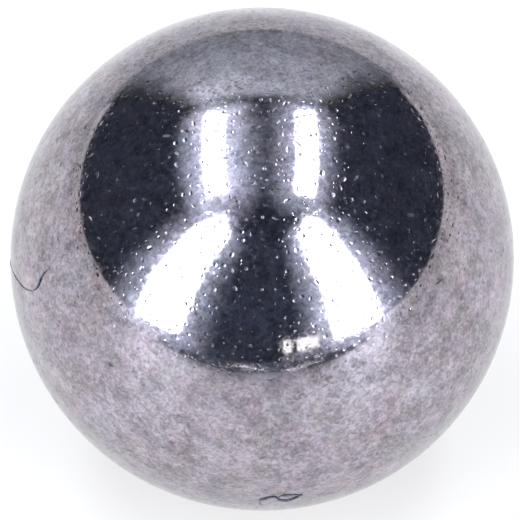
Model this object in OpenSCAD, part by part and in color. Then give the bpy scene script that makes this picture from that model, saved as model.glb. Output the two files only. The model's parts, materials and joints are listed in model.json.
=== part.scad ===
// Steel ball: one solid sphere, ground and lapped all over, with no seam, flat or bore.
// Millimetres. The origin is the ball's centre, and +Z is up.

/* [Ball] */
// Diameter of the ball
ball_d = 5; // [1:0.5:50]

/* [Preview] */
// Facets round the ball's equator when it is drawn as a mesh
facets = 144; // [48:8:288]

/* [Hidden] */

// Bare lapped chromium steel
lapped_steel = "#bcbfc6";

// Lapping leaves the same radius in every direction, so the whole form is this one sphere.
module ball()
{
    color(lapped_steel)
        sphere(d = ball_d, $fn = facets);
}

ball();
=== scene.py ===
import json
import math
import random
from collections import namedtuple

import bmesh
import bpy
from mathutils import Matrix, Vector
from mathutils.geometry import delaunay_2d_cdt
from mathutils.kdtree import KDTree


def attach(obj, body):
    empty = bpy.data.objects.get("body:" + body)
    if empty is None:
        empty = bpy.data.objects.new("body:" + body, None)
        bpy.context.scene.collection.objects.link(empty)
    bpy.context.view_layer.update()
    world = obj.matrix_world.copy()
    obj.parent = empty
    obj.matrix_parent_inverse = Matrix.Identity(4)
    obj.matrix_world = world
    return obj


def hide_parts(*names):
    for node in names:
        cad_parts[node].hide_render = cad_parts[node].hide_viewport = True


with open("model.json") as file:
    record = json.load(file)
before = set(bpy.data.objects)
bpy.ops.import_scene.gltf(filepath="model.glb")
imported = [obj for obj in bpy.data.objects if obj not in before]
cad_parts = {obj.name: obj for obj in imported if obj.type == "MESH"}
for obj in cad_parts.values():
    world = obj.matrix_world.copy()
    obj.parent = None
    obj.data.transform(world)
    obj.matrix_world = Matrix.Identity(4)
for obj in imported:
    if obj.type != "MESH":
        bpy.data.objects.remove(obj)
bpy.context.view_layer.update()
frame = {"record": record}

# A lapped chromium steel ball with its lapping pits, a few handling marks and two stray lint fibres.
# Everything is in metres, +Z is up, and -Y is the ball's front, where the camera is.

MICRON = 1e-6
SEAT = frame["record"]["mounts"][0]
CENTRE = Vector(SEAT["pos_m"])
RADIUS = SEAT["dims"]["r_mm"] / 1000


def linear(hex_colour):
    """An sRGB hex colour as linear RGBA."""
    parts = [int(hex_colour[i : i + 2], 16) / 255 for i in (1, 3, 5)]
    return [v / 12.92 if v <= 0.04045 else ((v + 0.055) / 1.055) ** 2.4 for v in parts] + [1.0]


def add(tree, kind, inputs=None, **settings):
    """Adds a node. Settings are its options; inputs are plain values, or sockets to link from."""
    node = tree.nodes.new("ShaderNode" + kind)
    for name, value in settings.items():
        setattr(node, name, value)
    for name, value in (inputs or {}).items():
        if isinstance(value, bpy.types.NodeSocket):
            tree.links.new(value, node.inputs[name])
        else:
            node.inputs[name].default_value = value
    return node


def new_material(name):
    """An empty material, its tree and its output node."""
    material = bpy.data.materials.new(name)
    material.use_nodes = True
    tree = material.node_tree
    tree.nodes.clear()
    return material, tree, add(tree, "OutputMaterial")


def new_piece(name, mesh, material):
    """An object in the scene, made of one mesh and one material."""
    mesh.materials.append(material)
    piece = bpy.data.objects.new(name, mesh)
    bpy.context.scene.collection.objects.link(piece)
    return piece


def on_ball(turn, lift, height=0.0):
    """The point on the ball at turn degrees from the front towards +X and lift degrees up."""
    a = math.radians(turn)
    b = math.radians(lift)
    way = Vector((math.sin(a) * math.cos(b), -math.cos(a) * math.cos(b), math.sin(b)))
    return CENTRE + way * (RADIUS + height)


# ---------------------------------------------------------------- the camera

CAMERA_LIFT = math.radians(50)
CAMERA_REACH = 50 * RADIUS
SENSOR = 36.0
# How much of the frame's width the ball fills, and how far right of and above its middle it sits.
BALL_SHARE = 0.968
BALL_RIGHT = 0.0087 * RADIUS
BALL_UP = 0.0044 * RADIUS


def camera():
    """A long lens looking down on the ball, which nearly fills the frame."""
    back = Vector((0, -math.cos(CAMERA_LIFT), math.sin(CAMERA_LIFT)))
    right = Vector((1, 0, 0))
    aim = CENTRE - right * BALL_RIGHT - back.cross(right) * BALL_UP
    lens = bpy.data.cameras.new("camera")
    lens.sensor_width = SENSOR
    lens.lens = SENSOR / 2 * BALL_SHARE / math.tan(math.asin(RADIUS / CAMERA_REACH))
    lens.clip_start = CAMERA_REACH * 0.01
    lens.clip_end = 10
    holder = bpy.data.objects.new("camera", lens)
    holder.location = aim + back * CAMERA_REACH
    holder.rotation_mode = "QUATERNION"
    holder.rotation_quaternion = (-back).to_track_quat("-Z", "Y")
    bpy.context.scene.collection.objects.link(holder)
    bpy.context.scene.camera = holder


# ---------------------------------------------------------------- the lapped steel

# One hollow in the ball's surface: an ellipse, half_length along its line and half_width across it.
# Its ends lie bow to one side of its middle. Dullness is how much darker and rougher its floor is: 0 is not
# at all, 1 is dark and more is darker.
Dent = namedtuple("Dent", "place line half_length half_width depth bow soil")

# One corner of the skin: its direction from the centre, how deep it is sunk, its normal and its dullness.
Corner = namedtuple("Corner", "way depth normal soil")

NET_CORNERS = 9000
NET_PITCH = math.sqrt(4 * math.pi / NET_CORNERS) * RADIUS
GOLDEN_TURN = math.pi * (3 - math.sqrt(5))
# How far the even net stays away from a dent, for the distance between its corners.
NET_CLEARANCE = 0.85
LAPPING_PITS = 5400
PIT_SEED = 5
PIT_GAP = 16 * MICRON
# Half the width of a pit in microns: the least, the greatest and the commonest.
PIT_HALF_WIDTHS = (12, 31, 16)
# How long a pit is for its width, and how deep for half its width.
PIT_SLENDERNESS = (1, 1, 1.3, 1.3, 1.7, 2.4)
PIT_DEPTHS = (0.04, 0.05, 0.06, 0.07, 0.08, 0.10, 0.13, 0.16)
PIT_DULLNESS = 0.9

# The rings of a dent: share of its size, how far outside it, how many corners.
PIT_RINGS = [(0, 0, 1), (0.62, 0, 6), (1, 0, 8)]
MARK_RINGS = [
    (0, 0, 1), (0.25, 0, 8), (0.5, 0, 14), (0.72, 0, 18), (0.9, 0, 22), (1, 0, 24),
    (1, 12 * MICRON, 18), (1, 34 * MICRON, 12),
]


def handling_marks():
    """Nicks and short scratches, between two (turn, lift) in degrees; width, depth and bow in microns."""
    marks = []
    for start, end, width, depth, bow, soil in (
        ((-60.4, -16.6), (-57.0, -15.2), 100, 12, 0, 0.9),
        ((-1.2, -2.1), (1.5, 0.1), 15, 3, 12, 0.8),
        ((-26.8, -1.2), (-24.6, -1.9), 13, 3, -4, 0.8),
        ((-23.8, -1.5), (-22.4, -1.2), 11, 3, 3, 0.7),
        ((94.3, 63.6), (95.5, 63.5), 22, 3, 0, 0.5),
        ((138.0, 48.3), (138.9, 48.5), 26, 4, 0, 0.9),
        ((169.9, 46.6), (171.7, 47.4), 18, 4, 5, 0.9),
        ((173.4, 44.8), (174.6, 45.0), 16, 3, 0, 0.8),
        ((108.0, 72.7), (109.0, 72.9), 20, 3, 0, 0.8),
        ((-22.2, 37.9), (-21.6, 36.9), 22, 4, 0, 2.4),
        ((-52.9, 25.0), (-52.4, 25.2), 24, 3, 0, 2.0),
        ((-51.2, 27.2), (-50.8, 27.3), 18, 3, 0, 1.4),
        ((-49.9, 26.2), (-49.5, 26.4), 20, 3, 0, 1.6),
        ((75.5, 27.8), (72.9, 22.0), 9, 1, -4, 0.5),
        ((70.5, 22.9), (71.1, 19.4), 12, 2, 3, 0.6),
        ((68.2, 17.0), (67.0, 15.3), 11, 2, 0, 0.6),
        ((73.4, 11.8), (72.6, 10.6), 12, 2, 0, 0.7),
        ((67.2, 13.2), (64.8, 10.9), 10, 2, 3, 0.6),
        ((58.0, 14.8), (53.5, 9.0), 9, 1, 5, 0.5),
        ((45.3, 21.8), (45.8, 20.5), 30, 3, 0, 0.6),
        ((59.0, 30.3), (59.5, 29.8), 20, 3, 0, 0.8),
        ((92.9, 2.6), (92.2, 1.9), 40, 6, 0, 0.8),
    ):
        a = on_ball(*start) - CENTRE
        b = on_ball(*end) - CENTRE
        place = (a + b).normalized()
        line = (b - a).normalized()
        half_length = (b - a).length / 2
        half_width = width / 2 * MICRON
        marks.append(Dent(place, line, half_length, half_width, depth * MICRON, bow * MICRON, soil))
    return marks


def spiral(count, i):
    """Direction i of count that a spiral spreads evenly over a sphere."""
    z = 1 - (2 * i + 1) / count
    flat = math.sqrt(1 - z * z)
    return Vector((math.cos(i * GOLDEN_TURN) * flat, math.sin(i * GOLDEN_TURN) * flat, z))


def lapping_pits(marks, draw):
    """Shallow bowls that the lapping left, most of them nearly round, clear of each other and the marks."""
    pits = []
    taken = [(mark.place, mark.half_length + PIT_GAP) for mark in marks]
    while len(pits) < LAPPING_PITS:
        place = Vector([draw.gauss(0, 1) for _ in range(3)]).normalized()
        spin = draw.uniform(0, math.tau)
        side = place.orthogonal().normalized()
        line = side * math.cos(spin) + place.cross(side) * math.sin(spin)
        half_width = draw.triangular(*PIT_HALF_WIDTHS) * MICRON
        half_length = half_width * draw.choice(PIT_SLENDERNESS)
        depth = half_width * draw.choice(PIT_DEPTHS)
        if all((place - other).length * RADIUS > half_length + room for other, room in taken):
            soil = PIT_DULLNESS * draw.random() ** 2
            pits.append(Dent(place, line, half_length, half_width, depth, 0.0, soil))
            taken.append((place, half_length + PIT_GAP))
    return pits


def dent_corners(dent, rings):
    """Rings of corners in a dent, and round it where the surface is level again."""
    side = dent.place.cross(dent.line)
    slender = math.sqrt(dent.half_length / dent.half_width)
    corners = []
    for share, apron, count in rings:
        count = round(count * slender) if count > 1 else 1
        for k in range(count):
            turn = math.tau * (k + share * 0.5) / count
            along = math.cos(turn) * (dent.half_length * share + apron)
            across = math.sin(turn) * (dent.half_width * share + apron)
            bowed = across - dent.bow * (1 - (along / dent.half_length) ** 2)
            way = (dent.place * RADIUS + dent.line * along + side * bowed).normalized()
            left = 0.0 if apron else 1 - share * share
            slope = dent.line * along / dent.half_length**2 + side * across / dent.half_width**2
            normal = (way - slope * 3 * dent.depth * math.sqrt(left)).normalized()
            corners.append(Corner(way, dent.depth * left**1.5, normal, dent.soil * min(1, left * 1.6)))
    return corners


def skin_corners(marks, pits):
    """All the corners of the skin: an even spiral, and the rings of every dent in its place."""
    dents = marks + pits
    tree = KDTree(len(dents))
    for i, dent in enumerate(dents):
        tree.insert(dent.place, i)
    tree.balance()
    longest = max(dent.half_length for dent in dents)
    margin = NET_PITCH * NET_CLEARANCE
    corners = []
    for i in range(NET_CORNERS - 1):
        way = spiral(NET_CORNERS, i)
        clear = True
        for place, k, _ in tree.find_range(way, (longest + NET_PITCH) / RADIUS):
            dent = dents[k]
            away = (way - place) * RADIUS
            along = away.dot(dent.line) / (dent.half_length + margin)
            across = away.dot(place.cross(dent.line)) / (dent.half_width + margin)
            clear = clear and math.hypot(along, across) > 1
        if clear:
            corners.append(Corner(way, 0.0, way, 0.0))
    for dent in marks:
        corners += dent_corners(dent, MARK_RINGS)
    for dent in pits:
        corners += dent_corners(dent, PIT_RINGS)
    foot = Vector((0, 0, -1))
    kept = [c for c in corners if (c.way - foot).length * RADIUS > NET_PITCH / 2]
    return kept + [Corner(foot, 0.0, foot, 0.0)]


def wrap(ways):
    """Triangles between directions on a sphere, the last of which is straight down.

    Seen from the lowest point, the rest of the sphere spreads out flat with every circle still a circle, so
    the best net of flat triangles is also the best one on the ball. The lowest point closes its outer edge.
    """
    flat = [Vector((way.x, way.y)) / (1 + way.z) for way in ways[:-1]]
    _, _, faces, origins, _, _ = delaunay_2d_cdt(flat, [], [], 0, 1e-9)
    faces = [tuple(origins[i][0] for i in face) for face in faces]
    edges = {(face[i - 1], face[i]) for face in faces for i in range(3)}
    rim = sorted(edge for edge in edges if edge[::-1] not in edges)
    return faces + [(b, a, len(ways) - 1) for a, b in rim]


def ball_skin():
    """The ball's surface: a fine net on the true sphere, sunk at every dent."""
    marks = handling_marks()
    corners = skin_corners(marks, lapping_pits(marks, random.Random(PIT_SEED)))
    mesh = bpy.data.meshes.new("ball_skin")
    places = [CENTRE + c.way * RADIUS - c.way * c.depth for c in corners]
    mesh.from_pydata(places, [], wrap([c.way for c in corners]))
    mesh.shade_smooth()
    mesh.normals_split_custom_set_from_vertices([c.normal for c in corners])
    soil = mesh.attributes.new("soil", "FLOAT", "POINT")
    soil.data.foreach_set("value", [c.soil for c in corners])
    return new_piece("ball_skin", mesh, lapped_steel())


# The steel's patterns, by the size of one patch in mm, and how far the bend shifts a pit's edge. The grit's
# own grain is far finer than can show, so it is drawn as coarse as 0.022 mm.
GRAIN_SIZE = 0.022
BEND_SIZE = 0.030
BEND_REACH = 0.02
BLOOM_SIZE = 0.050
FLECK_SIZE = 0.050
WAVE_SIZE = 0.16
CLOUD_SIZE = 0.3
STAIN_SIZE = 0.35
# The fine pits, in mm: how far apart they are, and the least and greatest reach of one from its middle.
# The last value is how deep one is for its reach.
FINE_SPACING = 0.09
FINE_SMALLEST = 0.010
FINE_LARGEST = 0.023
FINE_DEPTH = 0.055
# How high the grain and the wave stand, in mm.
GRAIN_HEIGHT = 0.00002
WAVE_HEIGHT = 0.0002
# The roughness of bare and of bloomed steel, and what the fine pits and a dull floor add to it.
BARE_ROUGHNESS = 0.06
BLOOM_ROUGHNESS = 0.125
DULL_ROUGHNESS = 0.32
# How far the stains pull red, green and blue to either side.
STAIN_PULL = (0.10, 0.05, 0.07)


def fine_pits(tree, place):
    """A scatter of pits too small for the mesh: their cover, 0 to 1, and their height in mm."""
    cells = add(tree, "TexVoronoi", {"Vector": place, "Scale": 1 / FINE_SPACING})
    chance = add(tree, "SeparateColor", {"Color": cells.outputs["Color"]}).outputs["Red"]
    skewed = add(tree, "Math", {0: chance, 1: 2.0}, operation="POWER").outputs[0]
    sizes = {"Value": skewed, "To Min": FINE_SMALLEST / FINE_SPACING, "To Max": FINE_LARGEST / FINE_SPACING}
    reach = add(tree, "MapRange", sizes).outputs[0]
    share = add(tree, "Math", {0: cells.outputs["Distance"], 1: reach}, operation="DIVIDE").outputs[0]
    square = add(tree, "Math", {0: share, 1: share}, operation="MULTIPLY").outputs[0]
    cover = add(tree, "Math", {0: 1.0, 1: square}, operation="SUBTRACT", use_clamp=True).outputs[0]
    deep = {0: reach, 1: -FINE_DEPTH * FINE_SPACING}
    deep = add(tree, "Math", deep, operation="MULTIPLY").outputs[0]
    return cover, add(tree, "Math", {0: cover, 1: deep}, operation="MULTIPLY").outputs[0]


def lapped_steel():
    """Hardened chromium steel, ground and lapped.

    A mirror under a thin bluish bloom: every lamp shows sharply but with a soft haze round it, pits glint
    in the dark parts and speckle the bright ones, and faint lilac and green-grey stains cloud the ball.
    """
    material, tree, out = new_material("lapped_chromium_steel")
    metres = add(tree, "TexCoord").outputs["Object"]
    place = add(tree, "VectorMath", {0: metres, "Scale": 1000.0}, operation="SCALE").outputs[0]

    # The pits are bent a little out of round by a fine noise.
    bend = add(tree, "TexNoise", {"Vector": place, "Scale": 1 / BEND_SIZE, "Detail": 1.0}).outputs["Color"]
    bend = add(tree, "VectorMath", {0: bend, 1: (0.5, 0.5, 0.5)}, operation="SUBTRACT").outputs[0]
    bent = {0: bend, 1: (BEND_REACH, BEND_REACH, BEND_REACH), 2: place}
    bent = add(tree, "VectorMath", bent, operation="MULTIPLY_ADD").outputs[0]
    pits, pit_height = fine_pits(tree, bent)

    grain = add(tree, "TexNoise", {"Vector": place, "Scale": 1 / GRAIN_SIZE, "Detail": 1.0}).outputs["Fac"]
    wave = add(tree, "TexNoise", {"Vector": place, "Scale": 1 / WAVE_SIZE, "Detail": 1.0}).outputs["Fac"]
    height = {0: grain, 1: GRAIN_HEIGHT, 2: pit_height}
    height = add(tree, "Math", height, operation="MULTIPLY_ADD").outputs[0]
    height = add(tree, "Math", {0: wave, 1: WAVE_HEIGHT, 2: height}, operation="MULTIPLY_ADD").outputs[0]
    bump = add(tree, "Bump", {"Height": height, "Distance": 0.001, "Strength": 1.0}).outputs[0]

    # Bloom: in over half of the surface the lapping grit left a roughness too fine to see, in clouds.
    cloud = {"Vector": place, "Scale": 1 / CLOUD_SIZE, "Detail": 4.0, "Roughness": 0.8}
    cloud = add(tree, "TexNoise", cloud).outputs["Fac"]
    fleck = {"Vector": place, "Scale": 1 / FLECK_SIZE, "Detail": 0.0, "Distortion": 1.2}
    fleck = add(tree, "TexNoise", fleck).outputs["Fac"]
    bloom = {"Vector": place, "Scale": 1 / BLOOM_SIZE, "Detail": 0.0}
    bloom = add(tree, "TexNoise", bloom).outputs["Fac"]
    bloom = add(tree, "Math", {0: cloud, 1: 0.3, 2: bloom}, operation="MULTIPLY_ADD").outputs[0]
    bloom = add(tree, "MapRange", {"Value": bloom, "From Min": 0.64, "From Max": 0.82}).outputs[0]
    soil = add(tree, "Attribute", attribute_name="soil").outputs["Fac"]
    # Where the fine pits and the dull dent floors are, the steel is rougher and darker; the fine pits'
    # darkening is painted shade.
    marks = add(tree, "Math", {0: pits, 1: 0.25, 2: soil}, operation="MULTIPLY_ADD").outputs[0]
    rough = {"Value": bloom, "To Min": BARE_ROUGHNESS, "To Max": BLOOM_ROUGHNESS}
    rough = add(tree, "MapRange", rough).outputs[0]
    rough = add(tree, "Math", {0: marks, 1: DULL_ROUGHNESS, 2: rough}, operation="MULTIPLY_ADD").outputs[0]

    # Colour: bare steel and bloomed steel, stained, then toned by cloud and fleck, and darkened on dull dent
    # floors and, as painted shade, in the fine pits.
    stain = {"Vector": place, "Scale": 1 / STAIN_SIZE, "Detail": 4.0, "Roughness": 0.7}
    stain = add(tree, "TexNoise", stain).outputs["Color"]
    stain = add(tree, "VectorMath", {0: stain, 1: (0.5, 0.5, 0.5)}, operation="SUBTRACT").outputs[0]
    steel = {0: bloom, 6: linear("#A39BA2"), 7: linear("#A29AA5")}
    steel = add(tree, "Mix", steel, data_type="RGBA").outputs[2]
    steel = {0: stain, 1: STAIN_PULL, 2: steel}
    steel = add(tree, "VectorMath", steel, operation="MULTIPLY_ADD").outputs[0]
    shade = {"Value": cloud, "From Min": 0.3, "From Max": 0.7, "To Min": 0.12, "To Max": 0.85}
    shade = add(tree, "MapRange", shade).outputs[0]
    shade = add(tree, "Math", {0: fleck, 1: 0.95, 2: shade}, operation="MULTIPLY_ADD").outputs[0]
    # Painted shade in the fine pits' hollows, and the dull dent floors: both darker.
    shade = add(tree, "Math", {0: marks, 1: -0.28, 2: shade}, operation="MULTIPLY_ADD").outputs[0]
    steel = add(tree, "VectorMath", {0: steel, "Scale": shade}, operation="SCALE").outputs[0]

    metal = {"Base Color": steel, "Metallic": 1.0, "Roughness": rough, "Normal": bump}
    metal = add(tree, "BsdfPrincipled", metal).outputs[0]
    tree.links.new(metal, out.inputs["Surface"])
    return material


# ---------------------------------------------------------------- the lint

# Each fibre's way over the ball, (turn, lift) in degrees, and its thickness there in microns.
HOOKED_FIBRE = [
    (-90.5, -0.6, 4), (-88.4, 0.4, 6), (-86.5, 2.0, 7), (-79.4, 6.3, 9), (-74.7, 8.7, 10),
    (-70.6, 11.4, 12), (-68.1, 13.8, 16), (-67.0, 16.4, 20), (-67.0, 19.2, 20), (-66.2, 22.0, 12),
    (-65.4, 23.6, 3),
]
WAVY_FIBRE = [
    (-0.4, -26.9, 9), (-0.6, -22.6, 18), (1.3, -20.9, 21), (2.9, -20.2, 20), (4.3, -22.6, 17),
    (6.6, -23.4, 19), (8.0, -22.2, 18), (9.1, -20.6, 20), (9.9, -20.4, 6),
]
WAVY_FIBRE_LOOP = [(3.6, -21.4, 6), (4.6, -19.9, 13), (6.2, -19.5, 15), (8.0, -19.9, 15), (9.4, -20.6, 6)]
FIBRE_STEPS = 10
FIBRE_SIDES = 10
# A fibre's half width and half height for its thickness, how high it lies, and its twist along one leg.
FIBRE_HALF_WIDTH = 0.5
FIBRE_HALF_HEIGHT = 0.35
FIBRE_LIFT = 0.4
FIBRE_TWIST = 0.9


def lint_fibre(name, route, material):
    """A flattened, slowly twisting fibre that lies on the ball and thins towards its ends."""
    points = [on_ball(turn, lift, thick * FIBRE_LIFT * MICRON) for turn, lift, thick in route]
    thicks = [thick * MICRON for _, _, thick in route]
    net = bmesh.new()
    rings = []
    for k in range((len(points) - 1) * FIBRE_STEPS + 1):
        i = min(k // FIBRE_STEPS, len(points) - 2)
        t = k / FIBRE_STEPS - i
        before = points[max(i - 1, 0)]
        after = points[min(i + 2, len(points) - 1)]
        a = points[i]
        b = points[i + 1]
        bend = 2 * before - 5 * a + 4 * b - after
        close = 3 * a - before - 3 * b + after
        here = a + (b - before) * t / 2 + bend * t * t / 2 + close * t**3 / 2
        way = ((b - before) / 2 + bend * t + close * 1.5 * t * t).normalized()
        thick = thicks[i] + (thicks[i + 1] - thicks[i]) * t
        upward = (here - CENTRE).normalized()
        sideways = way.cross(upward).normalized()
        twist = k / FIBRE_STEPS * FIBRE_TWIST
        ring = []
        for s in range(FIBRE_SIDES):
            turn = math.tau * s / FIBRE_SIDES
            x = math.cos(turn) * FIBRE_HALF_WIDTH
            y = math.sin(turn) * FIBRE_HALF_HEIGHT
            wide = x * math.cos(twist) - y * math.sin(twist)
            high = x * math.sin(twist) + y * math.cos(twist)
            ring.append(net.verts.new(here + (sideways * wide + upward * high) * thick))
        rings.append(ring)
    for ring, after in zip(rings, rings[1:]):
        for s in range(FIBRE_SIDES):
            t = (s + 1) % FIBRE_SIDES
            net.faces.new((ring[s], ring[t], after[t], after[s]))
    net.faces.new(rings[0][::-1])
    net.faces.new(rings[-1])
    bmesh.ops.recalc_face_normals(net, faces=net.faces)
    mesh = bpy.data.meshes.new(name)
    net.to_mesh(mesh)
    net.free()
    mesh.shade_smooth()
    return new_piece(name, mesh, material)


# The dye's patches and the cotton's down, in mm.
DYE_SIZE = 0.06
DOWN_SIZE = 0.004


def cotton_lint():
    """Dark cotton lint: a dull, slightly downy thread, lighter and darker along its length."""
    material, tree, out = new_material("dark_cotton_lint")
    metres = add(tree, "TexCoord").outputs["Object"]
    place = add(tree, "VectorMath", {0: metres, "Scale": 1000.0}, operation="SCALE").outputs[0]
    patch = add(tree, "TexNoise", {"Vector": place, "Scale": 1 / DYE_SIZE, "Detail": 2.0}).outputs["Fac"]
    patch = add(tree, "MapRange", {"Value": patch, "From Min": 0.35, "From Max": 0.65}).outputs[0]
    dye = {0: patch, 6: linear("#504E59"), 7: linear("#787681")}
    dye = add(tree, "Mix", dye, data_type="RGBA").outputs[2]
    down = add(tree, "TexNoise", {"Vector": place, "Scale": 1 / DOWN_SIZE, "Detail": 2.0}).outputs["Fac"]
    bump = add(tree, "Bump", {"Height": down, "Distance": 1.5 * MICRON, "Strength": 1.0}).outputs[0]
    cloth = {"Base Color": dye, "Roughness": 0.85, "Sheen Weight": 0.3, "Normal": bump}
    cloth = add(tree, "BsdfPrincipled", cloth).outputs[0]
    tree.links.new(cloth, out.inputs["Surface"])
    return material


# ---------------------------------------------------------------- the studio

LAMP_STRENGTH = 8.06
# How far from the ball the ceiling, the softboxes and screens, the sill, and the black cards stand.
CEILING = 0.40
SOFTBOX_REACH = 0.42
SILL_REACH = 0.43
CARD_REACH = 0.50
# How high the cards go, in degrees as the ball sees them, and the skirt in metres.
CARD_TOP = 66
SKIRT_TOP = 0.044
# How far from the ball the stray thread on the table lies.
THREAD_REACH = 0.04
# How much a lamp's corners are rounded, and how far a softbox's spill reaches.
STRIP_CORNER = 0.018
SOFTBOX_CORNER = 0.016
SOFTBOX_SPILL = 0.14
# The faint light between the strips: how much its corners are rounded, how far it spills, how bright it is.
BETWEEN_CORNER = 0.02
BETWEEN_SPILL = 0.03
BETWEEN_LEVEL = 0.105
# The table reaches this far from the ball each way.
TABLE_REACH = 3.0
TABLE_PAINT = "#A29D98"
TABLE_GLOW = 0.60
BACKDROP_PAINT = "#E6E7E8"
# The spill round a lamp: how many rings it has, and how fast it fades.
SPILL_RINGS = 8
SPILL_FADE = 1.6


def sky(turn, lift):
    """The direction at turn degrees from the back towards +X and lift degrees up."""
    a = math.radians(turn)
    b = math.radians(lift)
    return Vector((math.sin(a) * math.cos(b), math.cos(a) * math.cos(b), math.sin(b)))


def rounded(corners, radius):
    """An outline through corners, each rounded from radius before it to radius after it."""
    outline = []
    for i, corner in enumerate(corners):
        start = corner + (corners[i - 1] - corner).normalized() * radius
        end = corner + (corners[(i + 1) % len(corners)] - corner).normalized() * radius
        for k in range(7):
            t = k / 6
            outline.append(start * (1 - t) ** 2 + corner * 2 * t * (1 - t) + end * t * t)
    return outline


def panel(name, outline, material):
    """A flat lamp, card or screen of the studio, unseen by the camera itself."""
    mesh = bpy.data.meshes.new(name)
    mesh.from_pydata([tuple(point) for point in outline], [], [tuple(range(len(outline)))])
    piece = new_piece(name, mesh, material)
    piece.visible_camera = False
    return piece


def upright_outline(middle, reach, corners):
    """An outline reach away in direction middle, through corners at (turn, lift) as the ball sees them."""
    facing = sky(middle, 0)
    return [CENTRE + sky(*corner) * (reach / sky(*corner).dot(facing)) for corner in corners]


def spill(name, outline, width, level, narrow, filled=False):
    """The soft bluish light round a lamp, which fades over width. There is less of it towards narrow."""
    count = len(outline)
    to_third = outline[count // 3] - outline[0]
    to_two_thirds = outline[2 * count // 3] - outline[0]
    facing = to_third.cross(to_two_thirds).normalized()
    points = []
    strengths = []
    for k in range(SPILL_RINGS + 1):
        for i in range(count):
            along = outline[(i + 1) % count] - outline[i - 1]
            away = along.cross(facing).normalized() * width * k / SPILL_RINGS
            away -= narrow * max(0.0, away.dot(narrow))
            points.append(outline[i] + away)
            strengths.append(level * (1 - k / SPILL_RINGS) ** SPILL_FADE)
    faces = [tuple(range(count))] if filled else []
    for k in range(SPILL_RINGS):
        for i in range(count):
            j = (i + 1) % count
            faces.append((k * count + i, k * count + j, (k + 1) * count + j, (k + 1) * count + i))
    mesh = bpy.data.meshes.new(name)
    mesh.from_pydata(points, [], faces)
    mesh.attributes.new("strength", "FLOAT", "POINT").data.foreach_set("value", strengths)
    material, tree, out = new_material(name)
    strength = add(tree, "Attribute", attribute_name="strength").outputs["Fac"]
    light = add(tree, "Emission", {"Color": linear("#E2EEFF"), "Strength": strength})
    clear = add(tree, "BsdfTransparent")
    both = add(tree, "AddShader", {0: light.outputs[0], 1: clear.outputs[0]})
    tree.links.new(both.outputs[0], out.inputs["Surface"])
    piece = new_piece(name, mesh, material)
    piece.visible_camera = False


def glow(name, colour, strength=1.0):
    """A plain surface of the studio that glows evenly with its own light: a lamp's opal diffuser, or a card
    or cloth that is no lamp, whose glow is painted light.
    """
    material, tree, out = new_material(name)
    light = add(tree, "Emission", {"Color": linear(colour), "Strength": strength})
    tree.links.new(light.outputs[0], out.inputs["Surface"])
    return material


def back_screen_glow():
    """The screen behind the ball: brightest two thirds of the way up, and fading at its top and sides."""
    material, tree, out = new_material("back_screen")
    place = add(tree, "TexCoord").outputs["Object"]
    place = add(tree, "SeparateXYZ", {0: place}).outputs
    # Brighter from its foot up to 0.35 m, and dark above 0.55 m.
    level = {"Value": place["Z"], "From Max": 0.35, "To Min": 0.484, "To Max": 1.1}
    level = add(tree, "MapRange", level).outputs[0]
    top = {"Value": place["Z"], "From Min": 0.55, "From Max": 0.42, "To Min": 0.10}
    top = add(tree, "MapRange", top, interpolation_type="SMOOTHSTEP").outputs[0]
    # Dark towards both sides, but not down at its foot.
    aside = add(tree, "Math", {0: place["X"], 1: 0.017}).outputs[0]
    aside = add(tree, "Math", {0: aside}, operation="ABSOLUTE").outputs[0]
    side = {"Value": aside, "From Min": 0.31, "From Max": 0.17, "To Min": 0.10}
    side = add(tree, "MapRange", side, interpolation_type="SMOOTHSTEP").outputs[0]
    foot = add(tree, "MapRange", {"Value": place["Z"], "From Min": 0.036, "From Max": 0.018}).outputs[0]
    side = add(tree, "Math", {0: side, 1: foot}, operation="MAXIMUM").outputs[0]
    # A brighter patch high on its left.
    beside = add(tree, "Math", {0: place["X"], 1: -0.17}, operation="SUBTRACT").outputs[0]
    beside = add(tree, "Math", {0: beside}, operation="ABSOLUTE").outputs[0]
    patch = {"Value": beside, "From Min": 0.16, "From Max": 0.03, "To Max": 0.77}
    patch = add(tree, "MapRange", patch, interpolation_type="SMOOTHSTEP").outputs[0]
    high = {"Value": place["Z"], "From Min": 0.26, "From Max": 0.40}
    high = add(tree, "MapRange", high, interpolation_type="SMOOTHSTEP").outputs[0]
    level = add(tree, "Math", {0: patch, 1: high, 2: level}, operation="MULTIPLY_ADD").outputs[0]
    level = add(tree, "Math", {0: level, 1: top}, operation="MULTIPLY").outputs[0]
    level = add(tree, "Math", {0: level, 1: side}, operation="MULTIPLY").outputs[0]
    light = add(tree, "Emission", {"Color": linear("#E9F5FF"), "Strength": level})
    tree.links.new(light.outputs[0], out.inputs["Surface"])
    return material


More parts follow.
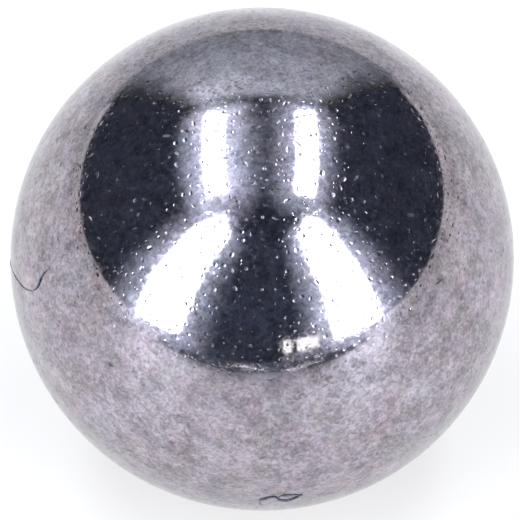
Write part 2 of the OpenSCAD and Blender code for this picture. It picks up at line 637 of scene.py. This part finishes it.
def table_top():
    """Satin varnished board: pale and soft, with the ball's shadow on it and no clear reflection.

    It glows a little where it is seen: in reflections, a painted pool of light with a painted shadow by the
    ball.
    Its varnish takes over towards the horizon, where it shows the dark room or, under the softboxes, light.
    """
    material, tree, out = new_material("satin_table")
    path = add(tree, "LightPath").outputs
    seen = {0: path["Is Camera Ray"], 1: path["Is Glossy Ray"]}
    seen = add(tree, "Math", seen, operation="MAXIMUM").outputs[0]
    seen = add(tree, "Math", {0: seen, 1: path["Is Transmission Ray"]}, operation="MAXIMUM").outputs[0]
    # In reflections the glow is a painted pool of light: it fades between 9 and 36 mm in front of the ball
    # and, less, up to 20 mm behind it, and later on both sides.
    spot = add(tree, "TexCoord").outputs["Object"]
    place = add(tree, "SeparateXYZ", {0: spot}).outputs
    aside = add(tree, "Math", {0: place["X"], 1: 0.002}, operation="SUBTRACT").outputs[0]
    aside = add(tree, "Math", {0: aside}, operation="ABSOLUTE").outputs[0]
    ahead = add(tree, "Math", {0: 0.0, 1: place["Y"]}, operation="SUBTRACT").outputs[0]
    front = add(tree, "Math", {0: aside, 1: -0.9, 2: ahead}, operation="MULTIPLY_ADD").outputs[0]
    front = {"Value": front, "From Min": 0.036, "From Max": 0.009, "To Min": 0.15}
    front = add(tree, "MapRange", front, interpolation_type="SMOOTHSTEP").outputs[0]
    back = add(tree, "Math", {0: aside, 1: -0.4, 2: place["Y"]}, operation="MULTIPLY_ADD").outputs[0]
    back = {"Value": back, "From Min": 0.020, "From Max": 0.001, "To Min": 0.55}
    back = add(tree, "MapRange", back, interpolation_type="SMOOTHSTEP").outputs[0]
    painted_pool = add(tree, "Math", {0: front, 1: back}, operation="MULTIPLY").outputs[0]
    # Painted shadow: close to the ball, the glow seen in reflections is dimmed, as if the ball kept light
    # off the table.
    away = {0: spot, 1: CENTRE + Vector((0, RADIUS, -RADIUS))}
    away = add(tree, "VectorMath", away, operation="DISTANCE").outputs["Value"]
    near = {"Value": away, "From Min": 0.0035, "From Max": 0.006, "To Min": 0.78}
    near = add(tree, "MapRange", near).outputs[0]
    painted_pool = add(tree, "Math", {0: painted_pool, 1: near}, operation="MULTIPLY").outputs[0]
    painted_pool = add(tree, "Math", {0: painted_pool, 1: path["Is Camera Ray"]}, operation="MAXIMUM").outputs[0]
    level = add(tree, "Math", {0: seen, 1: painted_pool}, operation="MULTIPLY").outputs[0]
    level = add(tree, "Math", {0: level, 1: TABLE_GLOW}, operation="MULTIPLY").outputs[0]
    top = {
        "Base Color": linear(TABLE_PAINT),
        "Roughness": 0.9,
        "Specular IOR Level": 0.0,
        "Coat Weight": 0.7,
        "Coat Roughness": 0.48,
        "Emission Color": linear("#FFFFFF"),
        "Emission Strength": level,
    }
    top = add(tree, "BsdfPrincipled", top).outputs[0]
    # Seen from 15 degrees up or lower, the table behind the ball is a pale grey backdrop, so that the ball's
    # lit edge stands out from it. Seen from higher up, the table behind that edge is still nearly white.
    bare = {"Value": away, "From Min": 0.008, "From Max": 0.022}
    bare = add(tree, "MapRange", bare, interpolation_type="SMOOTHSTEP").outputs[0]
    bare = add(tree, "Math", {0: bare, 1: path["Is Camera Ray"]}, operation="MULTIPLY").outputs[0]
    backdrop = add(tree, "Emission", {"Color": linear(BACKDROP_PAINT)})
    surface = add(tree, "MixShader", {0: bare, 1: top, 2: backdrop.outputs[0]})
    tree.links.new(surface.outputs[0], out.inputs["Surface"])
    return material


def lamps():
    """Two ceiling strips and two softboxes, each with its spill, and a faint light between the strips."""
    diffuser = glow("lamp_diffuser", "#EAF3FF", LAMP_STRENGTH)
    # Each strip: how bright, how wide and how one-sided its spill is, and its corners as shares of CEILING.
    for name, level, width, narrow, corners in (
        ("strip_left", 2.57, 0.13, 0.6, [
            (-0.468, -0.165), (-0.275, -0.175), (-0.275, 0.625), (-0.468, 0.715),
        ]),
        ("strip_right", 1.64, 0.10, 0.4, [
            (0.247, -0.17), (0.438, -0.19), (0.428, 0.73), (0.247, 0.66),
        ]),
    ):
        outline = rounded([CENTRE + Vector((x, y, 1)) * CEILING for x, y in corners], STRIP_CORNER)
        panel(name, outline, diffuser)
        spill(name + "_spill", outline, width, level, Vector((0, narrow, 0)))
    # Each softbox: its middle's turn, how bright and one-sided its spill is, and its corners' turn and lift.
    for name, middle, level, narrow, corners in (
        ("softbox_left", -133, 1.64, 0.0, [
            (-144.5, 8), (-139, 6), (-122.3, 5), (-121.3, 22),
            (-123.8, 54), (-138.8, 65), (-153, 57), (-146, 38),
        ]),
        ("softbox_right", 136, 1.87, 0.6, [
            (149, 6), (149, 32), (151, 45), (148.5, 59),
            (134, 62.5), (125.2, 57.5), (125.2, 24), (126, 5),
        ]),
    ):
        outline = rounded(upright_outline(middle, SOFTBOX_REACH, corners), SOFTBOX_CORNER)
        panel(name, outline, diffuser)
        spill(name + "_spill", outline, SOFTBOX_SPILL, level, Vector((0, 0, -narrow)))
    # Just above the strips, so that it doesn't cut their own light.
    between = [(-0.25, -0.1), (0.23, -0.1), (0.23, 0.53), (-0.25, 0.53)]
    between = [CENTRE + Vector((x, y, 1.005)) * CEILING for x, y in between]
    between = rounded(between, BETWEEN_CORNER)
    spill("ceiling_spill", between, BETWEEN_SPILL, BETWEEN_LEVEL, Vector((0, 1, 0)), filled=True)


def screens():
    """The back screen, black cards on all sides and above, and a pale skirt under the side cards. The cards
    and the skirt glow with painted light: dim blue-grey for the dark room, near white for the skirt.
    """
    screen = upright_outline(0, SOFTBOX_REACH, [(-38, 0), (34, 0), (34, 51), (-38, 51)])
    panel("back_screen", screen, back_screen_glow())
    # Painted light: the cards are no lamps but glow dim blue-grey.
    black = glow("glowing_black_card", "#48505D")
    front = glow("glowing_front_card", "#4E5868")
    top = math.tan(math.radians(CARD_TOP)) * CARD_REACH
    # Each card's middle, its foot's lift and its finish.
    for name, middle, foot, card in (
        ("left", -90, 5, black),
        ("right", 90, 5.7, black),
        ("front", 180, -1.2, front),
        ("back", 0, 4.6, black),
    ):
        start = CENTRE + sky(middle, 0) * CARD_REACH - sky(middle + 90, 0) * CARD_REACH
        end = CENTRE + sky(middle, 0) * CARD_REACH + sky(middle + 90, 0) * CARD_REACH
        low = Vector((0, 0, math.tan(math.radians(foot)) * CARD_REACH))
        high = Vector((0, 0, top))
        panel("card_" + name, [start + low, end + low, end + high, start + high], card)
    square = [(-1, -1), (1, -1), (1, 1), (-1, 1)]
    panel("card_top", [CENTRE + Vector((x * CARD_REACH, y * CARD_REACH, top)) for x, y in square], black)
    # Painted light: the skirt glows near white.
    skirt = glow("glowing_pale_skirt", "#F3F3F3")
    for name, side in (("left", -1), ("right", 1)):
        outline = [(-1, -RADIUS), (1, -RADIUS), (1, SKIRT_TOP), (-1, SKIRT_TOP)]
        outline = [CENTRE + Vector((side * CARD_REACH * 0.99, y * CARD_REACH, z)) for y, z in outline]
        panel("skirt_" + name, outline, skirt)


def room_in_front():
    """What the ball mirrors low down in front: two window panes, a sill, a grey cloth and a pale thread. The
    sill, the cloth and the thread are no lamps but glow with painted light, the thread brighter than white.
    """
    pane = glow("window_pane", "#F4FBF2", 3.5)
    for name, middle, corners in (
        ("pane_large", 160, [(165, 12), (165, 6), (155.5, 6), (155.5, 11.5)]),
        ("pane_small", 169, [(171, 12), (171, 6), (167.5, 6), (167.5, 12)]),
    ):
        panel(name, upright_outline(middle, SOFTBOX_REACH, corners), pane)
    sill = [(172, 0), (171, 4.5), (166.5, 5.6), (153, 5.6), (147, 3), (147, -1), (160, -1)]
    sill = upright_outline(160, SILL_REACH, sill)
    # Painted light: the sill, the cloth below and the thread glow, though they are no lamps.
    panel("window_sill", sill, glow("glowing_grey_sill", "#ADB1BF"))
    # The cloth's near edge lies just above the table, and its far edge is propped up.
    near = 0.0002 - RADIUS
    cloth = [(-0.5, -0.5, 0.015), (0.5, -0.5, 0.015), (0.018, -0.057, near), (-0.014, -0.057, near)]
    cloth = [CENTRE + Vector(corner) for corner in cloth]
    panel("front_cloth", cloth, glow("glowing_grey_cloth", "#768190"))
    # Each point of the thread: its turn, its upper edge's lift and how thick it is there, in degrees.
    thread = [
        (156, 0.2, 0.2), (160, 0.4, 0.3), (165, -0.3, 0.5), (169, -0.9, 0.4), (173, -0.7, 0.05),
        (178, -0.3, 0.05), (181, 0.1, 0.5), (184, 0.9, 0.6), (189, 1.6, 0.5), (193, 0.4, 0.1),
        (196, -0.6, 0.3),
    ]
    upper = [(turn, lift) for turn, lift, _ in thread]
    lower = [(turn, lift - thick) for turn, lift, thick in reversed(thread)]
    thread = upright_outline(180, THREAD_REACH, upper + lower)
    panel("table_thread", thread, glow("glowing_pale_thread", "#FFFFF9", 3.8))


def studio():
    """A pale table in a small dark room, with its lamps, screens and cards."""
    lamps()
    screens()
    room_in_front()
    corners = [(-1, -1), (1, -1), (1, 1), (-1, 1)]
    corners = [CENTRE + Vector((x * TABLE_REACH, y * TABLE_REACH, -RADIUS)) for x, y in corners]
    table = panel("table", corners, table_top())
    table.visible_camera = True
    world = bpy.data.worlds.new("studio")
    world.use_nodes = True
    world.node_tree.nodes["Background"].inputs["Color"].default_value = linear("#FFFFFF")
    bpy.context.scene.world = world


camera()
skin = ball_skin()
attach(skin, "root")
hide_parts("ball")
lint = cotton_lint()
for name, route in (
    ("hooked_fibre", HOOKED_FIBRE),
    ("wavy_fibre", WAVY_FIBRE),
    ("wavy_fibre_loop", WAVY_FIBRE_LOOP),
):
    fibre = lint_fibre(name, route, lint)
    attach(fibre, "root")
studio()
bpy.context.scene.view_settings.view_transform = "Standard"
